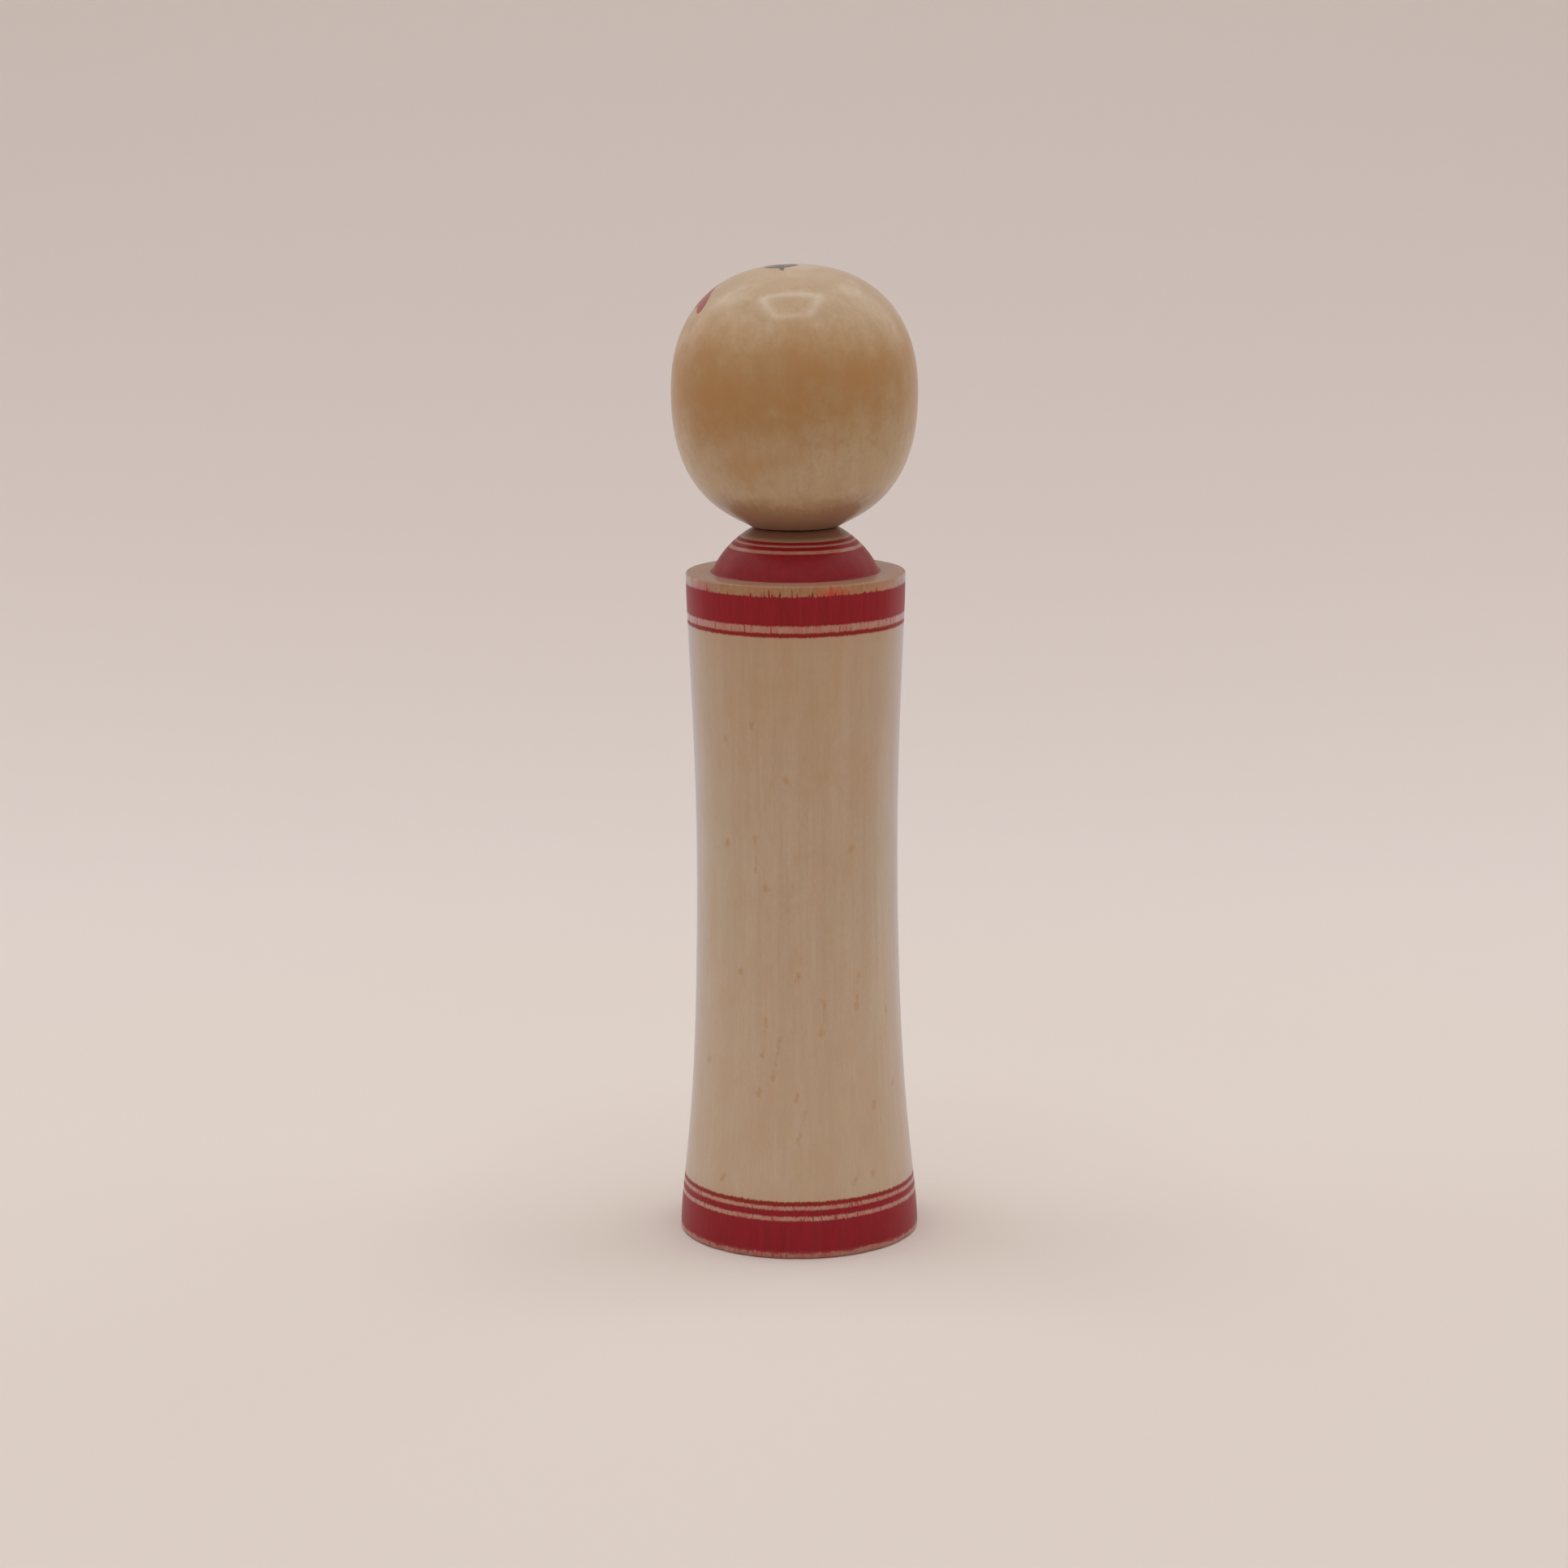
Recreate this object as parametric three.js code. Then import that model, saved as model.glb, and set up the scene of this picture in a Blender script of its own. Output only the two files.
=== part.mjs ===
// A turned wooden kokeshi doll in two pieces, in millimetres.
// +Z runs up the axis of the body, and the origin is the centre of the base. The face looks along -Y.
// The head's neck turns in the mouth of a blind socket in the body. The bulb below the neck is wider than
// the mouth, so the head stays in once it has been forced through.

import * as THREE from 'three';

// Body: a waisted column with a flat ledge round a low dome.
const FOOT_RADIUS = 30.1;
const FOOT_CHAMFER = 0.5;
const WAIST_RADIUS = 25.15;
const WAIST_HEIGHT = 97;
const LEDGE_RADIUS = 27.15;
const LEDGE_HEIGHT = 167.5;
const LEDGE_CHAMFER = 0.3;
const DOME_RADIUS = 20.65;
const DOME_TOP_RADIUS = 10.3;
const DOME_TOP_HEIGHT = 178.5;

// Head: a tall rounded crown over a belly that draws in to a cone.
const HEAD_TOP_HEIGHT = 242.4;
const BELLY_RADIUS = 30.28;
const BELLY_HEIGHT = 211;
const CROWN_SQUARENESS = 2.31;
const SEAT_RADIUS = 11;
const SEAT_GAP = 0.3;
const SEAT_HEIGHT = DOME_TOP_HEIGHT + SEAT_GAP;

// Joint: the neck and bulb on the head, and the socket in the body.
const NECK_RADIUS = 7.5;
const TURNING_CLEARANCE = 0.1;
const MOUTH_DEPTH = 6;
const MOUTH_CHAMFER = 0.7;
const BULB_RADIUS = 8.15;
const BULB_ROUND = 3;
const BULB_PLAY = 0.6;
const TENON_LENGTH = 19;
const CHAMBER_RADIUS = 8.8;
const SOCKET_DEPTH = 22;

const AROUND = 64;
const LONG_CURVE_STEPS = 8;
const ROUND_CURVE_STEPS = 12;
const SMALL_CURVE_STEPS = 4;

function point(radius, height) {
  return new THREE.Vector2(radius, height);
}

// Points along a cubic curve between two ends, each pulled towards its own handle.
function cubic(start, startHandle, endHandle, end, steps) {
  return new THREE.CubicBezierCurve(start, startHandle, endHandle, end).getPoints(steps);
}

function footToWaist() {
  const foot = point(FOOT_RADIUS, FOOT_CHAMFER);
  const splay = point(FOOT_RADIUS - 0.3, 0.16 * WAIST_HEIGHT);
  const run = point(WAIST_RADIUS, 0.3 * WAIST_HEIGHT);
  return cubic(foot, splay, run, point(WAIST_RADIUS, WAIST_HEIGHT), LONG_CURVE_STEPS);
}

function waistToLedge() {
  const rise = LEDGE_HEIGHT - WAIST_HEIGHT;
  const waist = point(WAIST_RADIUS, WAIST_HEIGHT);
  const run = point(WAIST_RADIUS, WAIST_HEIGHT + 0.42 * rise);
  const flare = point(LEDGE_RADIUS, LEDGE_HEIGHT - 0.15 * rise);
  const edge = point(LEDGE_RADIUS, LEDGE_HEIGHT - LEDGE_CHAMFER);
  return cubic(waist, run, flare, edge, LONG_CURVE_STEPS);
}

function dome() {
  const rise = DOME_TOP_HEIGHT - LEDGE_HEIGHT;
  const foot = point(DOME_RADIUS, LEDGE_HEIGHT);
  const shoulder = point(DOME_RADIUS - 3, LEDGE_HEIGHT + 0.63 * rise);
  const top = point(DOME_TOP_RADIUS, DOME_TOP_HEIGHT);
  return new THREE.QuadraticBezierCurve(foot, shoulder, top).getPoints(LONG_CURVE_STEPS);
}

// The blind socket, from its mouth down to its floor.
function socket() {
  const mouthRadius = NECK_RADIUS + TURNING_CLEARANCE;
  const lipHeight = DOME_TOP_HEIGHT - MOUTH_DEPTH;
  const floorHeight = DOME_TOP_HEIGHT - SOCKET_DEPTH;
  const undercut = CHAMBER_RADIUS - mouthRadius;
  return [
    point(mouthRadius + MOUTH_CHAMFER, DOME_TOP_HEIGHT),
    point(mouthRadius, DOME_TOP_HEIGHT - MOUTH_CHAMFER),
    point(mouthRadius, lipHeight),
    point(CHAMBER_RADIUS, lipHeight - undercut),
    point(CHAMBER_RADIUS, floorHeight),
    point(0, floorHeight),
  ];
}

function bodyOutline() {
  return [
    point(0, 0),
    point(FOOT_RADIUS - FOOT_CHAMFER, 0),
    ...footToWaist(),
    ...waistToLedge().slice(1),
    point(LEDGE_RADIUS - LEDGE_CHAMFER, LEDGE_HEIGHT),
    ...dome(),
    ...socket(),
  ];
}

// The tenon, from its lower end up to the seat under the head.
function tenon() {
  const endHeight = SEAT_HEIGHT - TENON_LENGTH;
  const shoulderHeight = DOME_TOP_HEIGHT - MOUTH_DEPTH - BULB_PLAY;
  const swell = BULB_RADIUS - NECK_RADIUS;
  const roundCentre = point(BULB_RADIUS - BULB_ROUND, endHeight + BULB_ROUND);
  const round = new THREE.EllipseCurve(
    roundCentre.x, roundCentre.y, BULB_ROUND, BULB_ROUND, -Math.PI / 2, 0,
  );
  return [
    point(0, endHeight),
    ...round.getPoints(SMALL_CURVE_STEPS),
    point(BULB_RADIUS, shoulderHeight - swell),
    point(NECK_RADIUS, shoulderHeight),
    point(NECK_RADIUS, SEAT_HEIGHT),
  ];
}

function seatToBelly() {
  const rise = BELLY_HEIGHT - SEAT_HEIGHT;
  const seat = point(SEAT_RADIUS, SEAT_HEIGHT);
  const cone = point(SEAT_RADIUS + 4.6, SEAT_HEIGHT + 2.7);
  const swell = point(BELLY_RADIUS, BELLY_HEIGHT - 0.78 * rise);
  return cubic(seat, cone, swell, point(BELLY_RADIUS, BELLY_HEIGHT), ROUND_CURVE_STEPS);
}

// A quarter of a superellipse, from the belly to the point where the crown meets the axis.
function crown() {
  const rise = HEAD_TOP_HEIGHT - BELLY_HEIGHT;
  const power = 2 / CROWN_SQUARENESS;
  const points = [];
  for (let step = 1; step < ROUND_CURVE_STEPS; step += 1) {
    const turn = (Math.PI / 2) * (step / ROUND_CURVE_STEPS);
    const radius = BELLY_RADIUS * Math.cos(turn) ** power;
    points.push(point(radius, BELLY_HEIGHT + rise * Math.sin(turn) ** power));
  }
  points.push(point(0, HEAD_TOP_HEIGHT));
  return points;
}

function headOutline() {
  return [...tenon(), ...seatToBelly(), ...crown()];
}

// One turned piece: its outline swept round the Z axis.
function turned(name, outline, colour) {
  const geometry = new THREE.LatheGeometry(outline, AROUND);
  geometry.rotateX(Math.PI / 2);
  const material = new THREE.MeshStandardMaterial({ color: colour, roughness: 0.35, metalness: 0 });
  const piece = new THREE.Mesh(geometry, material);
  piece.name = name;
  return piece;
}

const kokeshi = new THREE.Group();
kokeshi.add(turned('body', bodyOutline(), 0xb99a78));
kokeshi.add(turned('head', headOutline(), 0xb8905f));

export default kokeshi;
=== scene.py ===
"""A turned and painted wooden kokeshi doll, on a pale seamless floor.

The two CAD pieces set every size. Each is replaced by a finely turned copy of its own outline, with softened
edges, unevenness and small knocks as geometry, and with wood, dye and brushwork as a procedural material.
Lengths are in metres unless a name says mm. Azimuths are in degrees round the doll: 0 is the face, and 90 is
the doll's left.
"""

import math

import bpy
import numpy as np
from mathutils import Matrix, Vector


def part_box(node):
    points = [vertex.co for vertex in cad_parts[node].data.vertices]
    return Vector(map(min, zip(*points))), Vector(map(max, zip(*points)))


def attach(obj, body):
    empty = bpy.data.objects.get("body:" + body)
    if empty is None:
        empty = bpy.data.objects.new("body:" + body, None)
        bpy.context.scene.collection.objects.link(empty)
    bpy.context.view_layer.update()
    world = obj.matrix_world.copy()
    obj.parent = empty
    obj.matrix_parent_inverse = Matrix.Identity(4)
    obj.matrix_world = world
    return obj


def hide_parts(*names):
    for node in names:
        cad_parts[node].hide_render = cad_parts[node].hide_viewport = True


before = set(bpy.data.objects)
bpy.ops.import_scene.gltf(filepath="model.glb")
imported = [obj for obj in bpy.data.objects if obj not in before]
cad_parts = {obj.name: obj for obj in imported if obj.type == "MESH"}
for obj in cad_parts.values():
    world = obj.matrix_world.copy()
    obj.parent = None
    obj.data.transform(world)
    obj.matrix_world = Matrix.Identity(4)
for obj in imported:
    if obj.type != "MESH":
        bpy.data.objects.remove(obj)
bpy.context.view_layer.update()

MM = 0.001
TINY = 1e-6
SEED = 11

# ---------------------------------------- outlines from the CAD


def cad_outline(node):
    """A turned CAD node's outline in mm, as rows of radius and height, from the axis at its foot onwards."""
    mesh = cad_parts[node].data
    keys = []
    for vertex in mesh.vertices:
        x, y, z = vertex.co
        on_outline = abs(y) < TINY and x > -TINY
        keys.append((round(x / MM, 3), round(z / MM, 3)) if on_outline else None)
    links = {}
    for edge in mesh.edges:
        a, b = (keys[i] for i in edge.vertices)
        if a and b and a != b:
            links.setdefault(a, set()).add(b)
            links.setdefault(b, set()).add(a)
    here = min((key for key in links if key[0] == 0), key=lambda key: key[1])
    path = [here]
    while here:
        here = next((key for key in links[here] if key not in path), None)
        if here:
            path.append(here)
    return np.array(path, float)


def spline(points, spacing):
    """A smooth curve through points (a natural cubic spline on their chord lengths), about spacing apart."""
    points = np.asarray(points, float)
    gaps = np.linalg.norm(np.diff(points, axis=0), axis=1)
    knots = np.concatenate([[0], np.cumsum(gaps)])
    count = len(points)
    bends = np.zeros_like(points)
    if count > 2:
        system = np.zeros((count, count))
        right = np.zeros_like(points)
        system[0, 0] = system[-1, -1] = 1
        for i in range(1, count - 1):
            system[i, i - 1:i + 2] = gaps[i - 1], 2 * (gaps[i - 1] + gaps[i]), gaps[i]
            rise = (points[i + 1] - points[i]) / gaps[i] - (points[i] - points[i - 1]) / gaps[i - 1]
            right[i] = 6 * rise
        bends = np.linalg.solve(system, right)
    at = np.linspace(0, knots[-1], max(2, math.ceil(knots[-1] / spacing) + 1))
    left = np.clip(np.searchsorted(knots, at, side="right") - 1, 0, count - 2)
    gap = gaps[left][:, None]
    b = ((at - knots[left]) / gaps[left])[:, None]
    a = 1 - b
    curved = (a**3 - a) * bends[left] + (b**3 - b) * bends[left + 1]
    return a * points[left] + b * points[left + 1] + curved * gap**2 / 6


def smooth_runs(outline, corner_degrees=24):
    """Splits an outline at its corners, and returns the runs between them."""
    legs = np.diff(outline, axis=0)
    turn = np.degrees(np.arctan2(legs[:, 1], legs[:, 0]))
    bend = np.abs((np.diff(turn) + 180) % 360 - 180)
    corners = [0, *(np.nonzero(bend > corner_degrees)[0] + 1), len(outline) - 1]
    return [outline[a:b + 1] for a, b in zip(corners, corners[1:])]


def fine_run(run, spacing):
    """One run of an outline as a fine smooth curve. A run that ends on the axis meets it squarely."""
    if spacing is None:
        return run
    if len(run) > 2 and run[-1][0] == 0:
        mirrored = run[-2::-1] * (-1, 1)
        curve = spline(np.vstack([run, mirrored]), spacing)
        curve = curve[curve[:, 0] > POLE_CLEARANCE * spacing]
        return np.vstack([curve, run[-1]])
    return spline(run, spacing)


def softened(runs, round_mm):
    """Joins the runs, with each corner between two of them rounded off."""
    joined = [runs[0]]
    for before, after in zip(runs, runs[1:]):
        corner = before[-1]
        lengths = (np.linalg.norm(run_end - corner) for run_end in (before[0], after[-1]))
        reach = min(round_mm, *(ROUND_SHARE * length for length in lengths))
        start, end = (point_at(run, reach) for run in (before[::-1], after))
        kept = np.linalg.norm(joined[-1] - corner, axis=1) > reach
        joined[-1] = joined[-1][kept]
        t = np.linspace(0, 1, ROUND_POINTS)[:, None]
        joined.append((1 - t)**2 * start + 2 * t * (1 - t) * corner + t**2 * end)
        joined.append(after[np.linalg.norm(after - corner, axis=1) > reach])
    return np.vstack(joined)


def point_at(run, distance):
    """The point a given distance along a run from its start."""
    along = np.concatenate([[0], np.cumsum(np.linalg.norm(np.diff(run, axis=0), axis=1))])
    return np.array([np.interp(distance, along, run[:, k]) for k in (0, 1)])


# The last ring of a run stays this share of the spacing away from the axis.
POLE_CLEARANCE = 0.3
# A rounded corner takes at most this share of each run beside it.
ROUND_SHARE = 0.45
ROUND_POINTS = 6


# ---------------------------------------- turned meshes


def add_object(name, data):
    """An object that holds this data, in the scene."""
    thing = bpy.data.objects.new(name, data)
    bpy.context.scene.collection.objects.link(thing)
    return thing


def add_mesh(name, verts, faces):
    mesh = bpy.data.meshes.new(name)
    mesh.from_pydata(verts, [], faces)
    mesh.shade_smooth()
    return add_object(name, mesh)


def turned_mesh(name, outline, azimuths):
    """A closed mesh that sweeps an outline in mm round the axis, with a column at each azimuth."""
    rings = outline[1:-1]
    count = len(azimuths)
    angle = np.radians(azimuths)
    radius, height = rings[:, :1], rings[:, 1:]
    grid = np.stack([radius * np.sin(angle), -radius * np.cos(angle), height + 0 * angle], axis=-1)
    poles = [[0, 0, outline[0][1]], [0, 0, outline[-1][1]]]
    verts = np.vstack([grid.reshape(-1, 3), poles])
    bottom, top = len(verts) - 2, len(verts) - 1
    faces = []
    for ring in range(len(rings) - 1):
        low, high = ring * count, (ring + 1) * count
        for column in range(count):
            right = (column + 1) % count
            faces.append((low + column, low + right, high + right, high + column))
    last = (len(rings) - 1) * count
    for column in range(count):
        right = (column + 1) % count
        faces.append((bottom, right, column))
        faces.append((top, last + column, last + right))
    return add_mesh(name, verts * MM, faces)


def points_of(piece):
    """A piece's vertices in mm, as rows of x, y and z."""
    flat = np.empty(len(piece.data.vertices) * 3)
    piece.data.vertices.foreach_get("co", flat)
    return flat.reshape(-1, 3) / MM


def set_points(piece, points):
    piece.data.vertices.foreach_set("co", (points * MM).ravel())
    piece.data.update()


def columns(step, fine_step, fine_half_width):
    """Azimuths all the way round, closer together on each side of the face."""
    fine = np.arange(-fine_half_width, fine_half_width, fine_step)
    coarse = np.arange(fine_half_width, 360 - fine_half_width - TINY, step)
    return np.concatenate([fine, coarse])


def surface_point(azimuth, radius, height):
    """A point in mm at an azimuth, radius and height."""
    turn = math.radians(azimuth)
    return np.array([radius * math.sin(turn), -radius * math.cos(turn), height])


# ---------------------------------------- shaping the wood


def waves(points, wavelength, seed):
    """A smooth random field from -1 to 1 over points in mm, whose bumps are about a wavelength across."""
    chance = np.random.default_rng(seed)
    directions = chance.normal(size=(WAVE_COUNT, 3))
    directions /= np.linalg.norm(directions, axis=1)[:, None]
    lengths = wavelength * chance.uniform(*WAVE_SPREAD, WAVE_COUNT)
    phases = chance.uniform(0, 2 * math.pi, WAVE_COUNT)
    total = np.sin(points @ (directions / lengths[:, None]).T * 2 * math.pi + phases).sum(1)
    return np.clip(total / (WAVE_COUNT / 2), -1, 1)


def shrink(points, loss):
    """Moves each point towards the axis by its own loss in mm."""
    radius = np.hypot(points[:, 0], points[:, 1])
    share = 1 - loss / np.maximum(radius, 1)
    return points * np.stack([share, share, np.ones_like(share)], axis=1)


def hand_turned(points, seed):
    """The slight unevenness of seasoned wood turned by hand, always inside the true outline."""
    slow = 0.5 + 0.5 * waves(points, SLOW_WAVE_MM, seed)
    quick = 0.5 + 0.5 * waves(points * (1, 1, QUICK_STRETCH), QUICK_WAVE_MM, seed + 1)
    return shrink(points, SLOW_SHRINKAGE_MM * slow + QUICK_SHRINKAGE_MM * quick)


def nicked(points, radius, height, inwards_up, count, seed):
    """Small knocks along a turned edge at a radius and height. The knocks push inwards, and up or down."""
    chance = np.random.default_rng(seed)
    for azimuth in chance.uniform(0, 360, count):
        size, depth = chance.uniform(*KNOCK_SIZES_MM), chance.uniform(*KNOCK_DEPTHS_MM)
        gap = np.linalg.norm(points - surface_point(azimuth, radius, height), axis=1)
        push = depth * np.exp(-((gap / size) ** 2))
        points = shrink(points, push)
        points[:, 2] += push * inwards_up
    return points


def chuck_marks(points, radius, length, width, depth):
    """Four short slots in the base, left by the claws of the lathe."""
    azimuth = np.arctan2(points[:, 0], -points[:, 1])
    outward = np.hypot(points[:, 0], points[:, 1])
    on_base = (points[:, 2] < BASE_SKIN_MM) & (outward < BASE_FLAT_RADIUS)
    for turn in np.arange(4) * math.pi / 2 + CLAW_TURN:
        along = outward * np.cos(azimuth - turn) - radius
        across = outward * np.sin(azimuth - turn)
        inside = np.exp(-np.abs(along / (length / 2)) ** 6 - np.abs(across / (width / 2)) ** 4)
        points[:, 2] += depth * inside * on_base
    return points


WAVE_COUNT = 12
# The shortest and longest wave of a field, as shares of its wavelength.
WAVE_SPREAD = (0.7, 1.6)
SLOW_WAVE_MM = 55
QUICK_WAVE_MM = 13
# How much of a height counts for the quick waves, which run along the grain.
QUICK_STRETCH = 0.35
SLOW_SHRINKAGE_MM = 0.10
QUICK_SHRINKAGE_MM = 0.025
KNOCK_SIZES_MM = (0.35, 1.3)
KNOCK_DEPTHS_MM = (0.05, 0.22)
# The turn in radians of the first slot in the base.
CLAW_TURN = 0.35
BASE_SKIN_MM = 0.2
BASE_FLAT_RADIUS = 25


# ---------------------------------------- brushwork


def swell_hair(t):
    """The share of a stroke's half width at t of its length: thin at both ends, widest near the start."""
    return np.maximum(t, 0) ** 0.45 * np.maximum(1 - t, 0) ** 0.8 * 1.75


def swell_lock(t):
    """Half wide at the start, full soon after, and pointed at the end."""
    return (0.55 + 0.45 * np.minimum(t / 0.4, 1)) * np.maximum(1 - t, 0) ** 0.62


def swell_petal(t):
    """Narrow at the start, and wider all the way to a round end."""
    body = 0.16 + 0.84 * np.minimum(t / 0.82, 1) ** 1.1
    end = np.sqrt(np.maximum(1 - (np.maximum(t - 0.82, 0) / 0.18) ** 2, 0))
    return body * end


def swell_line(t):
    """Even, with blunt ends."""
    return np.sqrt(np.maximum(1 - np.abs(2 * t - 1) ** 2.6, 0))


def swell_dab(t):
    """Round or oval."""
    return np.sqrt(np.maximum(1 - (2 * t - 1) ** 2, 0))


def stroke(controls, half_width, swell, to_surface):
    """One brush stroke: its path in mm on the wood, and its half width in mm at each point of the path."""
    path = spline(np.array(controls, float), STROKE_STEP)
    t = np.linspace(0, 1, len(path))
    return np.array([to_surface(u, v) for u, v in path]), half_width * swell(t)


STROKE_STEP = 1.0
EDGE_REACH_MM = 3.0


def stroke_edges(points, strokes):
    """How far each point lies outside the nearest brush stroke in mm, which is less than zero inside one."""
    edge = np.full(len(points), EDGE_REACH_MM)
    for path, half_widths in strokes:
        margin = EDGE_REACH_MM + half_widths.max()
        near = np.all((points > path.min(0) - margin) & (points < path.max(0) + margin), axis=1)
        near = np.nonzero(near)[0]
        start, leg = path[:-1], np.diff(path, axis=0)
        offset = points[near][:, None, :] - start
        t = np.clip((offset * leg).sum(-1) / (leg**2).sum(-1), 0, 1)
        gap = np.linalg.norm(offset - t[..., None] * leg, axis=-1)
        wide = half_widths[:-1] + t * np.diff(half_widths)
        edge[near] = np.minimum(edge[near], (gap - wide).min(1))
    return edge


def set_attribute(piece, name, values):
    attribute = piece.data.attributes.new(name, "FLOAT", "POINT")
    attribute.data.foreach_set("value", np.asarray(values, np.float32))


class Canvas:
    """Turns drawing coordinates on a turned outline into points on its surface, in mm."""

    def __init__(self, outline):
        self.outline = outline[: outline[:, 1].argmax() + 1]
        self.centre = outline[outline[:, 0].argmax()][1]

    def face(self, azimuth, elevation):
        """A point on the head by its azimuth, and its elevation seen from the middle of the head."""
        skin = self.outline[self.outline[:, 1] > self.centre - FACE_REACH_MM]
        rise = np.arctan2(skin[:, 1] - self.centre, skin[:, 0])
        at = math.radians(elevation)
        radius, height = (np.interp(at, rise, skin[:, k]) for k in (0, 1))
        return surface_point(azimuth, radius, height)

    def crown(self, left, forward):
        """A point on the head by degrees from the top of the crown, to the doll's left and forward."""
        return self.face(math.degrees(math.atan2(left, forward)), 90 - math.hypot(left, forward))

    def across(self, azimuth, height):
        """How far round the body a point is from the middle of its front, in mm to the doll's left."""
        return math.radians(azimuth) * np.interp(height, self.outline[:, 1], self.outline[:, 0])

    def front(self, across, height):
        """A point on the body by mm round to the doll's left, and its height."""
        radius = np.interp(height, self.outline[:, 1], self.outline[:, 0])
        return surface_point(math.degrees(across / radius), radius, height)


# How far below the middle of the head its outline is read.
FACE_REACH_MM = 30


# ---------------------------------------- the painted design


def fringe(canvas):
    """The black hair over the forehead, with its crest and small tail behind the crown."""
    strokes = []
    for k in range(-4, 5):
        root = (FRINGE_ROOT[0] + 1.05 * k, FRINGE_ROOT[1] + 0.10 * k * k)
        middle = (4.2 * k + 2, 28)
        tip = (7.0 * k, 57 - 0.75 * k * k + (k % 2) * 3)
        strokes.append(stroke([root, middle, tip], 2.3, swell_lock, canvas.crown))
    crest = [(-1.5, -1.5), (2, -5), (6.5, -7.3), (10.5, -5), (13.5, -1.5)]
    strokes.append(stroke(crest, 1.35, swell_line, canvas.crown))
    tail = [(6.4, 2), (7.2, -8), (7.6, -15)]
    strokes.append(stroke(tail, 1.5, swell_lock, canvas.crown))
    return strokes


def side_locks(canvas):
    """The black hair down each side of the face."""
    strokes = []
    for side in (-1, 1):
        for k in range(5):
            top = (side * (52 + 4.5 * k), 31 - 2.5 * k)
            middle = (side * (55 + 4.4 * k), 10 - 1.0 * k)
            tip = (side * (50 + 4.0 * k), -13 + 1.5 * k + (k % 2) * 3)
            strokes.append(stroke([top, middle, tip], 1.45, swell_hair, canvas.face))
    return strokes


def ribbons(canvas):
    """The red strokes that spread over the crown on each side of the hair."""
    strokes = []
    for side in (-1, 1):
        for k in range(5):
            start = (34 + 4.2 * k, 27 - 0.6 * k)
            middle = (40 + 10.5 * k, 32 + 1.3 * k)
            end = (54 + 11.7 * k, 42 + 1.9 * k)
            path = []
            for turn, reach in (start, middle, end):
                at = math.radians(turn)
                path.append((side * reach * math.sin(at), reach * math.cos(at)))
            strokes.append(stroke(path, 2.15, swell_petal, canvas.crown))
    return strokes


def brows_and_eyes(canvas):
    strokes = []
    for side in (-1, 1):
        for half_width, *line in EYE_LINES:
            path = [(side * across, up) for across, up in line]
            strokes.append(stroke(path, half_width, swell_line, canvas.face))
        strokes.append(stroke([(side * 14.2, -0.5), (side * 17.2, -0.5)], 0.85, swell_dab, canvas.face))
    nose = [(-3.4, -7.2), (-1.6, -9.3), (0, -8.6), (1.6, -9.3), (3.4, -7.2)]
    strokes.append(stroke(nose, 0.26, swell_line, canvas.face))
    return strokes


def mouth(canvas):
    upper = [(-4.3, -16.2), (-1.8, -15.4), (0, -16.0), (1.8, -15.4), (4.3, -16.2)]
    lower = [(-3.2, -17.3), (0, -18.0), (3.2, -17.3)]
    return [stroke(upper, 0.45, swell_line, canvas.face), stroke(lower, 0.5, swell_line, canvas.face)]


def flower(canvas, height, size):
    """A chrysanthemum seen from the side: two fans of petals, and short ones that hang below."""

    def petal(lean, bow, inner, outer, half_width):
        rings = ((lean, inner), (bow, 0.5 * (inner + outer)), (lean, outer))
        path = []
        for turn, reach in rings:
            path.append((size * reach * math.sin(turn), height + size * reach * math.cos(turn)))
        return stroke(path, half_width * size, swell_petal, canvas.front)

    strokes = []
    for k in range(-6, 7):
        lean = math.radians(15.8 * k)
        outer = 1.02 - 0.010 * k * k + (k % 2) * 0.06
        strokes.append(petal(lean, lean * 0.93, 0.36, outer, 0.074))
    for k in range(-3, 4):
        lean = math.radians(23 * k)
        strokes.append(petal(lean, lean * 0.9, 0.07, 0.40 - 0.012 * k * k, 0.052))
    for k in range(-3, 4):
        lean = math.radians(180 - 20 * k)
        strokes.append(petal(lean, lean, 0.10, 0.40 - 0.010 * k * k, 0.050))
    return strokes


def leaves(canvas, height, size):
    """A stem with a notched leaf on each side, each leaf drawn with five strokes."""
    stem = [(0, height + 0.9 * size), (0.05 * size, height), (-0.04 * size, height - 0.95 * size)]
    strokes = [stroke(stem, 0.045 * size, swell_line, canvas.front)]
    for side in (-1, 1):
        for lift, reach in ((0.95, 0.75), (0.62, 1.12), (0.22, 1.30), (-0.18, 1.12), (-0.48, 0.72)):
            root = (side * 0.10 * size, height - 0.05 * size)
            middle = (side * 0.55 * reach * size, height + 0.72 * lift * size)
            tip = (side * reach * size, height + lift * size)
            strokes.append(stroke([root, middle, tip], 0.105 * size, swell_hair, canvas.front))
    return strokes


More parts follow.
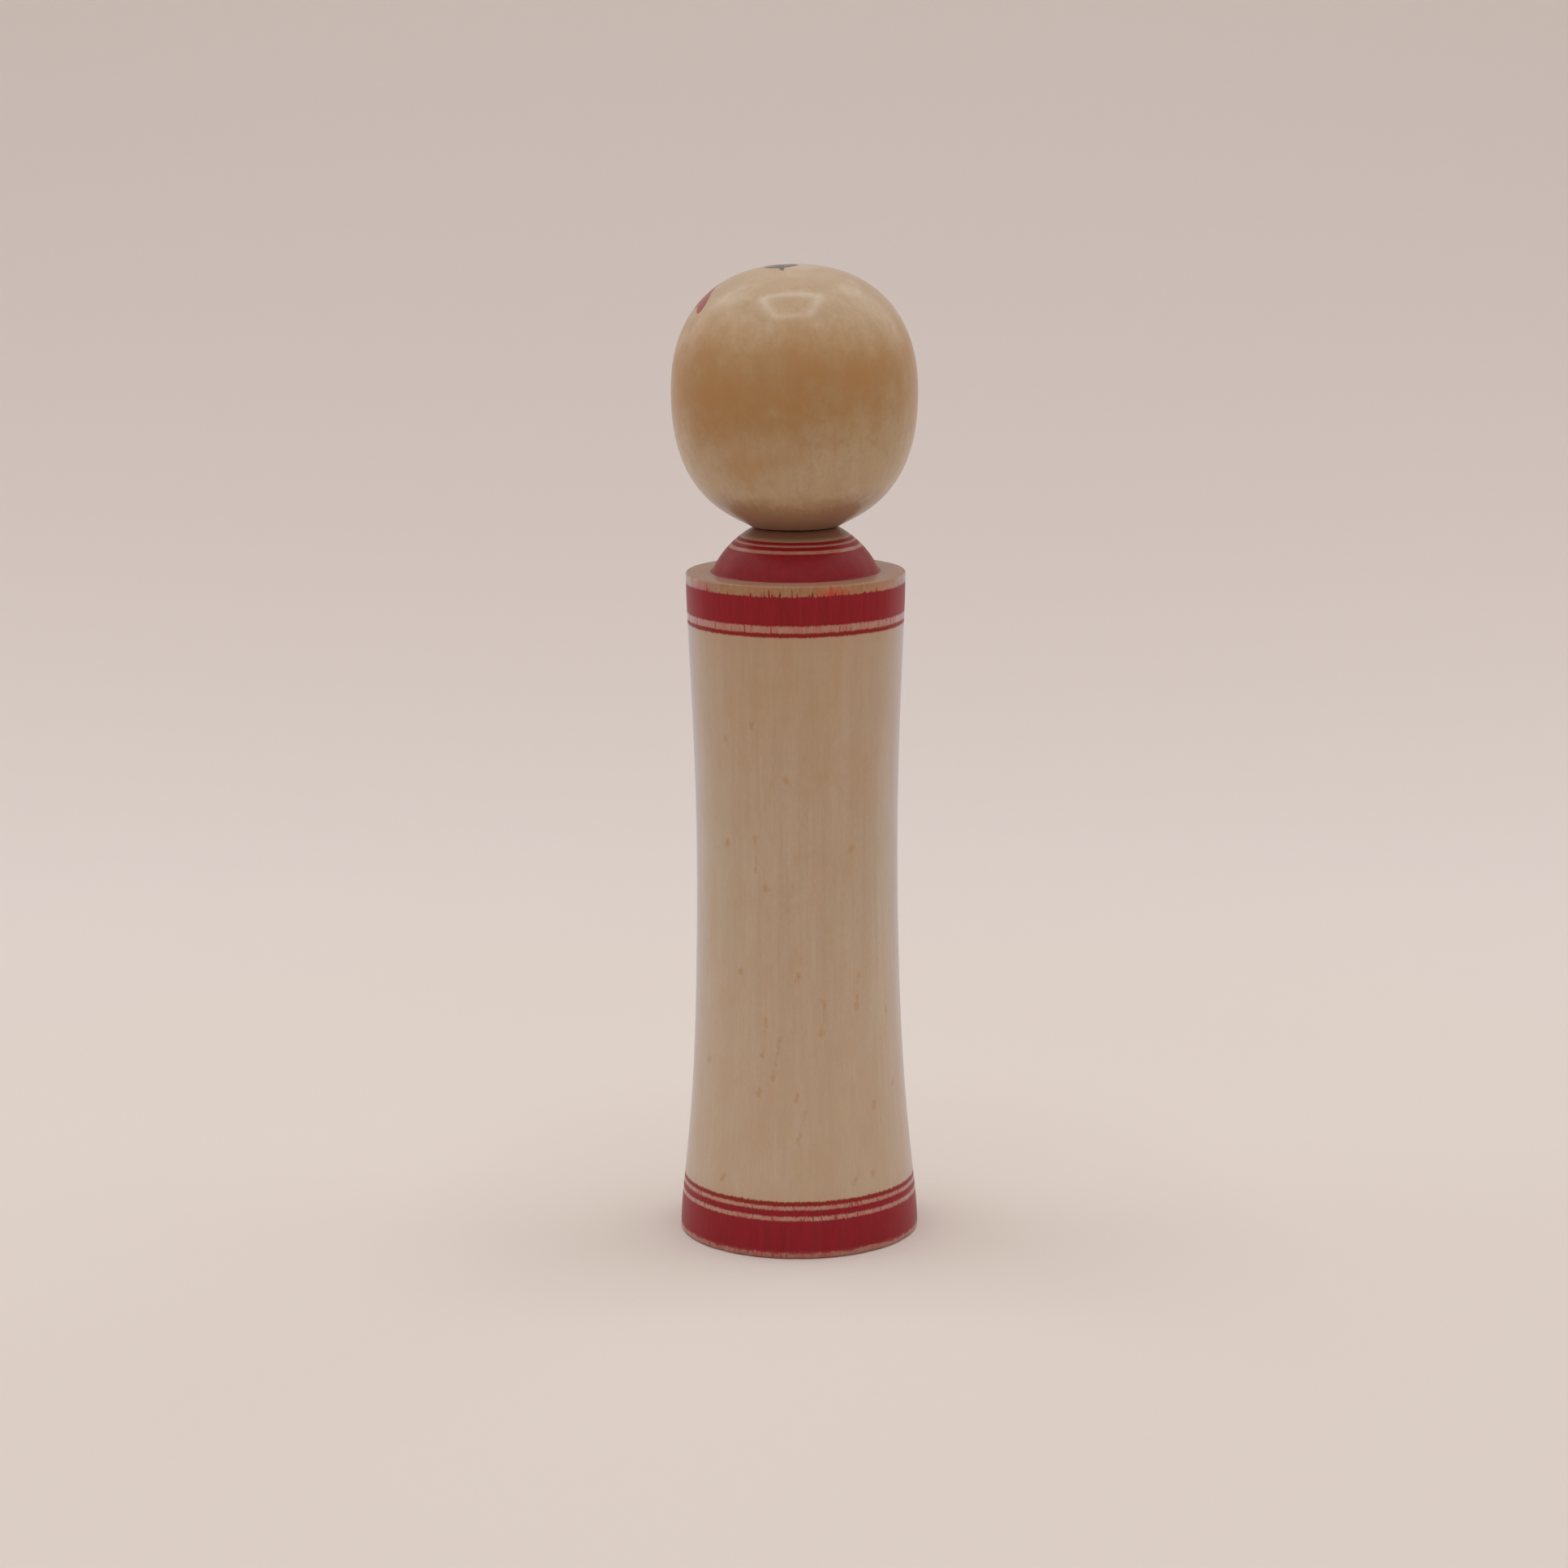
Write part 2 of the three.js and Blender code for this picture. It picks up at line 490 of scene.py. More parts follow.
def flecks(canvas, seed):
    """Small brown bird's-eye spots in the wood, each a short stroke along the grain with a thin tail."""
    chance = np.random.default_rng(seed)
    spots = list(BACK_FLECKS)
    lowest, highest = FLECK_HEIGHTS
    for _ in range(FRONT_FLECK_COUNT):
        azimuth = chance.uniform(*FRONT_FLECK_AZIMUTHS)
        height = lowest + (highest - lowest) * chance.beta(0.9, 1.2)
        spots.append((azimuth, height, chance.uniform(0.5, 1)))
    strokes = []
    for azimuth, height, size in spots:
        across = canvas.across(azimuth, height)
        lean, slant = chance.uniform(-0.22, 0.22, 2)
        aside, above = 0.7 * slant * size, 0.4 * size
        spot = [(across - aside, height - above), (across + aside, height + above)]
        tail_end = height + chance.choice((-1, 1)) * chance.uniform(0.3, 0.9) * size
        tail = [(across, height), (across + lean, tail_end)]
        strokes.append(stroke(spot, chance.uniform(0.36, 0.58) * size, swell_dab, canvas.front))
        strokes.append(stroke(tail, 0.16 * size, swell_dab, canvas.front))
    for azimuth, height, length in BACK_STREAKS:
        across = canvas.across(azimuth, height)
        path = [(across, height - length / 2), (across + 0.15, height), (across, height + length / 2)]
        strokes.append(stroke(path, FAINT, swell_line, canvas.front))
    return strokes


def hairlines(canvas):
    """Short brown checks along the grain at the back of the head."""
    strokes = []
    for azimuth, elevation, length in BACK_CHECKS:
        above = (azimuth - 0.9, elevation + length / 2)
        below = (azimuth, elevation - length / 2)
        strokes.append(stroke([above, (azimuth + 0.5, elevation), below], 0.12, swell_dab, canvas.face))
    return strokes


FRINGE_ROOT = (5.6, -0.5)
# Brow, upper lid, lower lid and fold: the half width in mm, and azimuths and elevations along each line.
EYE_LINES = (
    (0.34, (7, 9.5), (15.5, 12.8), (26, 8.6)),
    (0.36, (8.2, -0.9), (15.5, 2.3), (24, -0.7)),
    (0.16, (10.2, -2.0), (15.8, -3.1), (21.5, -1.9)),
    (0.17, (10.5, 3.4), (16.2, 5.0), (23, 3.0)),
)
# Azimuth, height in mm and size of the spots that show behind.
BACK_FLECKS = (
    (152, 92.5, 0.8), (170, 70.5, 1.1), (136, 71, 0.9), (202, 102, 0.9), (164, 119.5, 0.7), (145, 133, 0.6),
    (148, 41.5, 1.0), (169, 40.5, 1.0), (214, 36.5, 0.8), (112, 47, 0.9), (183, 56.5, 1.1), (228, 59.5, 0.9),
    (199, 18.5, 0.9), (210, 19.5, 0.7), (128, 18.5, 1.0), (128, 129, 0.8), (127, 103, 0.7), (232, 40.5, 0.8),
)
# Azimuth, height and length in mm of the faint streaks along the grain.
BACK_STREAKS = ((151, 55, 9), (158, 50, 10), (184, 61, 7), (146, 101, 8), (171, 33, 7), (205, 66, 8))
# Less than zero, so that only the halo of a streak shows.
FAINT = -0.45
# Azimuth, elevation and length in degrees of the checks in the back of the head.
BACK_CHECKS = ((145, 28, 3), (175, 1, 8), (189, -21, 3), (128, -9, 3))
FRONT_FLECK_COUNT = 26
FRONT_FLECK_AZIMUTHS = (-110, 75)
FLECK_HEIGHTS = (14, 14 + 0.83 * 167)
# Height and size in mm of each flower and each pair of leaves.
FLOWERS = ((113, 31), (47, 22))
LEAF_PAIRS = ((86, 17), (29, 9))


# ---------------------------------------- the two turned pieces


def turned_outline(node, spacings, round_mm):
    """A node's outline, each run of it at its own spacing in mm, with its corners softened."""
    runs = smooth_runs(cad_outline(node))
    return softened([fine_run(run, spacing) for run, spacing in zip(runs, spacings)], round_mm)


def make_body():
    outline = turned_outline("body", BODY_SPACINGS, round_mm=0.28)
    piece = turned_mesh("turned_body", outline, columns(step=0.9, fine_step=0.9, fine_half_width=0.9))
    points = points_of(piece)
    canvas = Canvas(outline)
    petals = [petal for height, size in FLOWERS for petal in flower(canvas, height, size)]
    leafage = [leaf for height, size in LEAF_PAIRS for leaf in leaves(canvas, height, size)]
    set_attribute(piece, "red", stroke_edges(points, petals))
    set_attribute(piece, "green", stroke_edges(points, leafage))
    set_attribute(piece, "fleck", stroke_edges(points, flecks(canvas, SEED + 20)))
    points = hand_turned(points, SEED)
    ledge_radius = outline[np.abs(outline[:, 1] - LEDGE_HEIGHT) < LEDGE_SKIN_MM][:, 0].max()
    foot_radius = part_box("body")[1].x / MM
    points = nicked(points, ledge_radius, LEDGE_HEIGHT - 0.1, inwards_up=-0.5, count=13, seed=SEED + 2)
    points = nicked(points, foot_radius, 0.4, inwards_up=0.5, count=15, seed=SEED + 3)
    points = chuck_marks(points, radius=12, length=5, width=1.6, depth=1.1)
    set_points(piece, points)
    return piece


def make_head():
    outline = turned_outline("head", HEAD_SPACINGS, round_mm=0.4)
    piece = turned_mesh("turned_head", outline, columns(step=1.0, fine_step=0.5, fine_half_width=62))
    points = points_of(piece)
    canvas = Canvas(outline)
    black = fringe(canvas) + side_locks(canvas) + brows_and_eyes(canvas)
    set_attribute(piece, "ink", stroke_edges(points, black))
    set_attribute(piece, "red", stroke_edges(points, ribbons(canvas) + mouth(canvas)))
    set_attribute(piece, "fleck", stroke_edges(points, hairlines(canvas)))
    set_points(piece, hand_turned(points, SEED + 5))
    return piece


# The runs of the body's outline: base, its chamfer, barrel, its chamfer, ledge, dome, and the hidden socket.
BODY_SPACINGS = (0.8, 0.2, 0.55, 0.15, 0.4, 0.3, 0.5, None, None, None, None, None)
# The runs of the head's outline: the hidden bulb's end, shoulder and neck, then the seat, and the head.
HEAD_SPACINGS = (None, None, None, 0.5, 0.36)
LEDGE_HEIGHT = 167.5
LEDGE_SKIN_MM = 0.4
DOME_FOOT_RADIUS = 20.65


# ---------------------------------------- shader graphs


class Graph:
    """A material's nodes. Every input is either a socket or a constant."""

    def __init__(self, name):
        self.material = bpy.data.materials.new(name)
        self.material.use_nodes = True
        self.tree = self.material.node_tree
        self.tree.nodes.clear()

    def node(self, kind, inputs, **settings):
        node = self.tree.nodes.new("ShaderNode" + kind)
        for name, value in settings.items():
            setattr(node, name, value)
        for key, value in inputs.items():
            self.feed(node.inputs[key], value)
        return node

    def feed(self, socket, value):
        if isinstance(value, bpy.types.NodeSocket):
            self.tree.links.new(value, socket)
        else:
            socket.default_value = value

    def math(self, operation, *values):
        return self.node("Math", dict(enumerate(values)), operation=operation).outputs[0]

    def fold(self, operation, values):
        """Joins any number of values with an operation on two."""
        total = values[0]
        for value in values[1:]:
            total = self.math(operation, total, value)
        return total

    def add(self, *values):
        return self.fold("ADD", values)

    def times(self, *values):
        return self.fold("MULTIPLY", values)

    def most(self, *values):
        return self.fold("MAXIMUM", values)

    def flip(self, value):
        return self.math("SUBTRACT", 1.0, value)

    def ease(self, value, low, high, out_low=0.0, out_high=1.0):
        """Goes smoothly from out_low to out_high as a value goes from low to high."""
        if low > high:
            low, high, out_low, out_high = high, low, out_high, out_low
        inputs = {"Value": value, "From Min": low, "From Max": high, "To Min": out_low, "To Max": out_high}
        return self.node("MapRange", inputs, interpolation_type="SMOOTHSTEP").outputs[0]

    def noise(self, place, scales, detail=2.0, roughness=0.5, shift=0.0):
        """Values from about 0.2 to 0.8 over a place in mm, at so many bumps to the mm along x, y and z."""
        scaled = self.node("VectorMath", {0: place, 1: scales}, operation="MULTIPLY").outputs[0]
        moved = self.node("VectorMath", {0: scaled, 1: (shift, shift, shift)}, operation="ADD").outputs[0]
        inputs = {"Vector": moved, "Scale": 1.0, "Detail": detail, "Roughness": roughness}
        return self.node("TexNoise", inputs).outputs[0]

    def swing(self, *noise):
        """Noise that swings from about -0.3 to 0.3."""
        return self.add(self.noise(*noise), -0.5)

    def within(self, value, limits):
        """Goes from 0 to 1 between the first two limits, and back to 0 between the last two."""
        rise_from, rise_to, fall_from, fall_to = limits
        return self.times(self.ease(value, rise_from, rise_to), self.ease(value, fall_to, fall_from))

    def size_of(self, value):
        return self.math("ABSOLUTE", value)

    def blend(self, amount, a, b):
        a, b = ((*value, 1.0) if isinstance(value, tuple) else value for value in (a, b))
        return self.node("Mix", {0: amount, 6: a, 7: b}, data_type="RGBA").outputs[2]

    def attribute(self, name):
        return self.node("Attribute", {}, attribute_name=name).outputs["Fac"]


def on_grain(graph, place):
    """The patterns that every part of the wood shares: streaks, fibres, pores and slow changes of tone."""
    return {
        "broad": graph.noise(place, (0.20, 0.20, 0.012), 2.0, 0.5, 3.1),
        "streak": graph.noise(place, (0.80, 0.80, 0.020), 4.0, 0.60, 7.7),
        "fibre": graph.noise(place, (3.3, 3.3, 0.11), 2.0, 0.55, 1.3),
        "pore": graph.noise(place, (4.6, 4.6, 0.55), 2.0, 0.6, 5.9),
        "cloud": graph.noise(place, (0.19, 0.19, 0.085), 4.0, 0.64, 2.2),
        "tint": graph.noise(place, (0.085, 0.085, 0.030), 3.0, 0.55, 9.4),
        "mottle": graph.noise(place, (1.1, 1.1, 0.65), 3.0, 0.65, 14.3),
    }


def bare_wood(graph, grain, palette):
    """The colour of the waxed wood from its grain patterns."""
    tone = graph.add(
        graph.times(grain["streak"], 0.34),
        graph.times(grain["fibre"], 0.12),
        graph.times(grain["broad"], 0.34),
        graph.times(grain["mottle"], 0.22),
    )
    colour = graph.blend(graph.ease(tone, 0.36, 0.72), palette["dark"], palette["light"])
    colour = graph.blend(graph.ease(grain["cloud"], 0.42, 0.70, 0.0, 0.65), colour, palette["warm"])
    colour = graph.blend(graph.ease(grain["tint"], 0.50, 0.32, 0.0, 0.55), colour, palette["green"])
    pores = graph.ease(grain["pore"], 0.56, 0.76, 0.0, 0.26)
    return graph.blend(pores, colour, palette["pore"])


def band_mask(graph, height, bands, softness):
    """Where the dyed bands are: one from each low to high height in mm."""
    masks = []
    for low, high in bands:
        limits = (low - softness, low + softness, high - softness, high + softness)
        masks.append(graph.within(height, limits))
    return graph.most(*masks)


def painted(graph, edge, softness, bleed):
    """How much paint is on a point, from how far in mm it lies outside the brush strokes."""
    ragged = graph.add(edge, bleed)
    return graph.ease(ragged, softness, -softness)


def dyed(graph, colour, amount, dye, grain, strength):
    """Lays a thin dye over the wood. The grain takes it unevenly."""
    uneven = graph.add(graph.times(grain["streak"], 0.9), graph.times(grain["fibre"], 0.5))
    shade = graph.blend(graph.ease(uneven, 0.40, 1.0), dye["deep"], dye["thin"])
    return graph.blend(graph.times(amount, strength), colour, shade)


def finish_surface(graph, colour, roughness, height, depth_mm, ior, coat=0.0, coat_roughness=0.5, sheen=0.0):
    """Ends a graph in its shader: a surface with relief of a depth in mm, under a coat of wax and a sheen."""
    bump = graph.node("Bump", {"Strength": 1.0, "Distance": depth_mm * MM, "Height": height})
    shader = graph.node("BsdfPrincipled", {
        "Base Color": colour,
        "Roughness": roughness,
        "Normal": bump.outputs[0],
        "IOR": ior,
        "Coat Weight": coat,
        "Coat Roughness": coat_roughness,
        "Coat IOR": WAX_IOR,
        "Sheen Weight": sheen,
        "Sheen Roughness": SHEEN_ROUGHNESS,
        "Sheen Tint": (*SHEEN_TINT, 1.0),
    })
    graph.node("OutputMaterial", {"Surface": shader.outputs[0]})
    return graph.material


def place_in_mm(graph):
    coordinates = graph.node("TexCoord", {}).outputs["Object"]
    return graph.node("VectorMath", {0: coordinates, "Scale": 1 / MM}, operation="SCALE").outputs[0]


def body_material():
    graph = Graph("body_waxed_wood")
    place = place_in_mm(graph)
    grain = on_grain(graph, place)
    x, y, z = graph.node("SeparateXYZ", {0: place}).outputs
    radius = graph.math("SQRT", graph.add(graph.times(x, x), graph.times(y, y)))
    on_barrel = graph.ease(radius, DOME_FOOT_RADIUS + 0.2, DOME_FOOT_RADIUS + 0.6)
    facing = graph.node("SeparateXYZ", {0: graph.node("NewGeometry", {}).outputs["Normal"]}).outputs[2]
    steep = graph.size_of(facing)
    bleed = graph.swing(place, (2.6, 2.6, 0.30), 3.0, 0.65, 4.4)

    colour = bare_wood(graph, grain, BODY_WOOD)
    colour = graph.blend(graph.ease(z, 85.0, 165.0, 0.0, 0.55), colour, BODY_WOOD["shoulder"])
    colour = graph.blend(graph.ease(z, 95.0, 45.0, 0.0, 0.24), colour, BODY_WOOD["skirt"])
    colour = graph.blend(graph.ease(steep, 0.75, 0.97, 0.0, 0.55), colour, BODY_WOOD["end"])
    # Painted shade, with some stain: the bare wood at the top of the dome, under the head, is coloured dark
    # brown.
    colour = graph.blend(graph.ease(z, 176.0, 177.2, 0.0, 0.85), colour, DOME_SEAT_STAIN_AND_SHADE)

    seep = graph.add(graph.times(grain["streak"], 0.6), graph.times(grain["mottle"], 0.5),
                     graph.times(bleed, 0.5))
    between = graph.most(graph.within(z, SHOULDER_GAP), graph.ease(z, 14.2, 13.2), graph.within(z, DOME_GAPS))
    colour = stained_and_shaded_wood(graph, place, z, seep, between, on_barrel, colour)
    turn = graph.math("ARCTAN2", x, graph.times(y, -1.0))
    colour = smeared(graph, grain, turn, z, seep, colour)

    height = band_height(graph, place, z, bleed, on_barrel)
    bands = dyed_bands(graph, place, grain, z, height, between, on_barrel)
    colour = dyed(graph, colour, bands, RED_DYE, grain, 0.97)
    off_lines = [graph.size_of(graph.add(height, -line)) for line in BRIGHT_LINES]
    thin_line = graph.most(*(graph.ease(off, 1.0, 0.5) for off in off_lines))
    colour = graph.blend(graph.times(thin_line, bands, 0.55), colour, VERMILION)

    petals = painted(graph, graph.attribute("red"), 0.10, graph.times(bleed, 0.30))
    colour = dyed(graph, colour, petals, RED_DYE, grain, 0.94)
    leafage = painted(graph, graph.attribute("green"), 0.10, graph.times(bleed, 0.30))
    colour = dyed(graph, colour, leafage, GREEN_DYE, grain, 0.92)

    stain = speck(graph, grain, 2.2, 1.2, 0.0)
    colour = graph.blend(graph.times(stain, 0.34), colour, FLECK_BROWN)
    heart = speck(graph, grain, 1.4, 0.28, -0.40)
    colour = graph.blend(graph.times(heart, 0.72), colour, FLECK_BROWN)

    turning = graph.noise(place, (0.0, 0.0, 2.3), 2.0, 0.6, 8.8)
    relief = graph.add(graph.times(grain["fibre"], 0.6), graph.times(grain["pore"], -0.35),
                       graph.times(turning, 0.18), graph.times(grain["streak"], 0.5))
    roughness = graph.add(graph.times(grain["fibre"], 0.16), graph.times(grain["cloud"], 0.14), 0.30)
    paint = graph.most(bands, petals, leafage)
    coat = graph.times(graph.ease(paint, 0.0, 1.0, 0.35, 0.15), graph.ease(on_barrel, 0.0, 1.0, 0.85, 1.0))
    upright = graph.times(on_barrel, graph.ease(steep, 0.9, 0.5, 0.30, 1.0),
                          graph.ease(z, 15.0, 110.0, 0.72, 1.22))
    sheen = graph.times(graph.ease(paint, 0.0, 1.0, 0.50, 0.03), upright)
    return finish_surface(graph, colour, roughness, relief, depth_mm=0.030, ior=1.25,
                          coat=coat, coat_roughness=0.16, sheen=sheen)


def band_height(graph, place, z, bleed, on_barrel):
    """The height that the bands are drawn by: the true one, frayed along the grain and worn at the foot."""
    waver = graph.swing(place, (0.10, 0.10, 0.0), 1.0, 0.5, 6.1)
    ragged = graph.times(bleed, graph.ease(on_barrel, 0.0, 1.0, 0.05, 1.10))
    cluster = graph.ease(graph.noise(place, (0.14, 0.14, 0.0), 1.0, 0.5, 18.0), 0.36, 0.60)
    spike = graph.ease(graph.noise(place, (2.0, 2.0, 0.10), 2.0, 0.6, 12.6), 0.53, 0.70, 0.0, 2.3)
    top_only = graph.times(graph.ease(z, 162.5, 163.5), on_barrel)
    spikes = graph.times(spike, cluster, top_only, -1.0)
    worn = graph.ease(graph.noise(place, (0.30, 0.30, 0.2), 3.0, 0.6, 30.0), 0.35, 0.68, -0.15, 0.5)
    worn_foot = graph.times(worn, graph.ease(z, 4.0, 2.5), -1.0)
    return graph.add(z, ragged, graph.times(waver, 0.22), spikes, worn_foot)


def stained_and_shaded_wood(graph, place, z, seep, between, on_barrel, colour):
    """Dye that the wood soaked up: pink in the gaps between bands, and a darker tan on the strip above the
    shoulder, partly dye and partly painted shade under the head.
    """
    patches = graph.ease(graph.noise(place, (0.30, 0.30, 0.05), 3.0, 0.6, 71.0), 0.34, 0.64, 0.64, 1.0)
    stained = graph.times(between, graph.ease(seep, 0.35, 0.70, 0.60, 0.95), patches)
    halo = graph.times(graph.most(graph.ease(z, 150.0, 155.0), graph.ease(z, 19.0, 14.0)), 0.10)
    colour = graph.blend(graph.most(stained, halo), colour, BLUSH)
    # Painted shade, with soaked-up dye: the strip above the shoulder, under the head, is coloured a darker
    # tan.
    strip = graph.times(graph.ease(z, 164.6, 165.4), on_barrel)
    return graph.blend(graph.times(strip, graph.ease(seep, 0.35, 0.75, 0.55, 0.92)), colour, STRIP_TAN_AND_SHADE)


def smeared(graph, grain, turn, z, seep, colour):
    """Dye that ran up over the strip above the shoulder."""
    for azimuth, half_angle, tint, amount in SMEARS:
        off = graph.size_of(graph.add(turn, -math.radians(azimuth)))
        near = graph.ease(off, math.radians(half_angle), 0.0)
        lift = graph.ease(graph.add(z, graph.times(seep, -4.0)), 165.4, 163.4)
        streaky = graph.ease(grain["fibre"], 0.35, 0.65, 0.55 * amount, amount)
        smear = graph.times(near, lift, graph.ease(z, 164.4, 165.0), streaky)
        colour = graph.blend(smear, colour, tint)
    return colour


def dyed_bands(graph, place, grain, z, height, between, on_barrel):
    """How much dye is on a point: the bands, rubbed off along the foot's rim, and ticks across the gaps."""
    barrel = graph.times(band_mask(graph, height, BARREL_BANDS, 0.27), on_barrel)
    dome = graph.times(band_mask(graph, height, DOME_BANDS, 0.12), graph.flip(on_barrel))
    bands = graph.most(barrel, dome)
    rim = graph.times(graph.ease(z, 2.3, 1.2), graph.ease(grain["mottle"], 0.3, 0.6, 0.75, 0.35))
    bands = graph.most(graph.times(bands, graph.flip(graph.times(rim, 0.5))), graph.times(rim, 0.68))
    ticks = graph.ease(graph.noise(place, (1.5, 1.5, 0.12), 2.0, 0.6, 52.0), 0.56, 0.66, 0.0, 0.75)
    return graph.most(bands, graph.times(ticks, between, on_barrel))


def speck(graph, grain, mottling, faint_at, full_at):
    """How much of a fleck or check is on a point, from how far in mm it lies outside the fleck."""
    uneven = graph.times(graph.add(grain["mottle"], -0.5), mottling)
    return graph.ease(graph.add(graph.attribute("fleck"), uneven), faint_at, full_at)


def head_material():
    graph = Graph("head_waxed_wood")
    place = place_in_mm(graph)
    grain = on_grain(graph, place)
    x, _, z = graph.node("SeparateXYZ", {0: place}).outputs
    colour = aged_and_seat_shaded(graph, place, grain, x, z, bare_wood(graph, grain, HEAD_WOOD))

    colour = graph.blend(graph.times(speck(graph, grain, 1.6, 0.55, -0.2), 0.36), colour, FLECK_BROWN)
    bleed = graph.swing(place, (2.4, 2.4, 0.5), 2.0, 0.6, 4.4)
    ribbon = painted(graph, graph.attribute("red"), 0.09, graph.times(bleed, 0.26))
    colour = dyed(graph, colour, ribbon, RED_DYE, grain, 0.94)
    hair = painted(graph, graph.attribute("ink"), 0.07, graph.times(bleed, 0.16))
    dry = graph.ease(graph.add(grain["fibre"], graph.times(grain["streak"], 0.5)), 0.50, 0.95, 0.99, 0.86)
    colour = graph.blend(graph.times(hair, dry), colour, INK)

    relief = graph.add(graph.times(grain["fibre"], 0.5), graph.times(grain["pore"], -0.3),
                       graph.times(grain["streak"], 0.5))
    roughness = graph.add(graph.times(grain["fibre"], 0.14), graph.times(grain["cloud"], 0.12), 0.26)
    return finish_surface(graph, colour, roughness, relief, depth_mm=0.016, ior=1.30,
                          coat=0.50, coat_roughness=0.17, sheen=0.05)


def aged_and_seat_shaded(graph, place, grain, x, z, colour):
    """The amber belt and stain that age has left on the head, its blotches, and the grime and painted shade
    at its seat.
    """
    drift = graph.swing(place, (0.045, 0.045, 0.06), 2.0, 0.5, 15.2)
    fray = graph.swing(place, (0.24, 0.24, 0.19), 5.0, 0.66, 33.0)
    ragged = graph.add(z, graph.times(drift, 20.0), graph.times(fray, 15.0),
                       graph.times(grain["streak"], 3.5))
    lower = graph.ease(graph.add(ragged, graph.times(x, 0.16)), 200.5, 214.5)
    amber = graph.times(lower, graph.ease(ragged, 238.5, 219.0))
    patchy = graph.ease(graph.noise(place, (0.13, 0.13, 0.12), 5.0, 0.66, 21.0), 0.30, 0.62, 0.62, 1.0)
    colour = graph.blend(graph.times(amber, patchy), colour, AMBER)
    away = graph.node("VectorMath", {0: place, 1: STAIN_MIDDLE}, operation="DISTANCE").outputs["Value"]
    stain = graph.ease(graph.add(away, graph.times(fray, 14.0)), 8.0, 3.0, 0.0, 0.62)
    colour = graph.blend(stain, colour, AMBER)

    colour = graph.blend(graph.ease(z, 226.0, 238.0, 0.0, 0.55), colour, HEAD_WOOD["crown"])
    blotch = graph.ease(graph.noise(place, (0.33, 0.33, 0.30), 4.0, 0.65, 63.0), 0.50, 0.68, 0.0, 0.42)
    colour = graph.blend(graph.times(blotch, graph.ease(z, 190.0, 200.0)), colour, HEAD_WOOD["blotch"])
    pale = graph.ease(graph.noise(place, (0.09, 0.09, 0.10), 3.0, 0.6, 41.0), 0.50, 0.68, 0.0, 0.34)
    colour = graph.blend(graph.times(pale, graph.ease(z, 218.0, 230.0)), colour, HEAD_WOOD["pale"])

    # Painted shade, with some grime: the head is coloured darker towards its seat, where it sits in the body.
    seat_grime_and_shade_height = graph.add(z, graph.times(grain["streak"], 4.0), graph.times(drift, 7.0))
    colour = graph.blend(graph.ease(seat_grime_and_shade_height, 191.4, 185.9, 0.0, 0.62), colour, HEAD_WOOD["seat"])
    return graph.blend(graph.ease(z, 185.0, 179.0, 0.0, 0.5), colour, HEAD_WOOD["seat"])


# Heights in mm of the dyed bands.
BARREL_BANDS = ((1.2, 9.7), (10.7, 12.35), (13.3, 14.4), (155.0, 156.05), (157.75, 165.0))
DOME_BANDS = ((166.0, 173.73), (174.42, 175.22), (175.6, 176.28))
# Heights in mm of the pale gaps between bands: the rise and then the fall of each.
SHOULDER_GAP = (154.6, 155.6, 157.6, 158.8)
DOME_GAPS = (173.0, 173.6, 175.5, 175.9)
# Heights in mm of the narrow lines that are brighter than the bands.
BRIGHT_LINES = (155.5, 13.85)
BODY_WOOD = {
    "light": (0.585, 0.450, 0.318), "dark": (0.498, 0.362, 0.242), "warm": (0.51, 0.342, 0.200),
    "green": (0.518, 0.426, 0.275), "pore": (0.375, 0.230, 0.12), "end": (0.42, 0.255, 0.160),
    "shoulder": (0.468, 0.306, 0.168), "skirt": (0.645, 0.498, 0.350),
}
# The seat colour is the dark brown of grime and painted shade at the foot of the head.
HEAD_WOOD = {
    "light": (0.525, 0.385, 0.240), "dark": (0.442, 0.298, 0.163), "warm": (0.49, 0.334, 0.182),
    "green": (0.50, 0.365, 0.188), "pore": (0.26, 0.135, 0.068), "pale": (0.59, 0.47, 0.34),
    "seat": (0.25, 0.120, 0.063), "blotch": (0.395, 0.240, 0.10), "crown": (0.405, 0.290, 0.192),
}
AMBER = (0.425, 0.226, 0.082)
# The middle in mm of a small amber stain low on the back of the head.
STAIN_MIDDLE = (15.0, 20.5, 196.5)
RED_DYE = {"deep": (0.232, 0.001, 0.008), "thin": (0.325, 0.003, 0.017)}
GREEN_DYE = {"deep": (0.012, 0.050, 0.022), "thin": (0.030, 0.100, 0.042)}
INK = (0.012, 0.009, 0.008)
BLUSH = (0.47, 0.155, 0.125)
# Tan of the strip above the shoulder: partly soaked-up dye, partly painted shade under the head.
STRIP_TAN_AND_SHADE = (0.355, 0.155, 0.050)
VERMILION = (0.27, 0.022, 0.005)
# Dye that ran above the shoulder's wide band: azimuth, half its angle, colour and strength.
SMEARS = (
    (-171, 18, (0.56, 0.060, 0.020), 1.0),
    (-142, 15, (0.52, 0.20, 0.080), 0.7),
    (112, 15, (0.45, 0.085, 0.085), 1.0),
)
# Dark brown for the bare top of the dome under the head: partly stain, partly painted shade.
DOME_SEAT_STAIN_AND_SHADE = (0.24, 0.105, 0.06)
FLECK_BROWN = (0.450, 0.195, 0.020)
WAX_IOR = 1.45
SHEEN_ROUGHNESS = 0.48
SHEEN_TINT = (0.64, 0.78, 1.0)


# ---------------------------------------- stage, light and camera


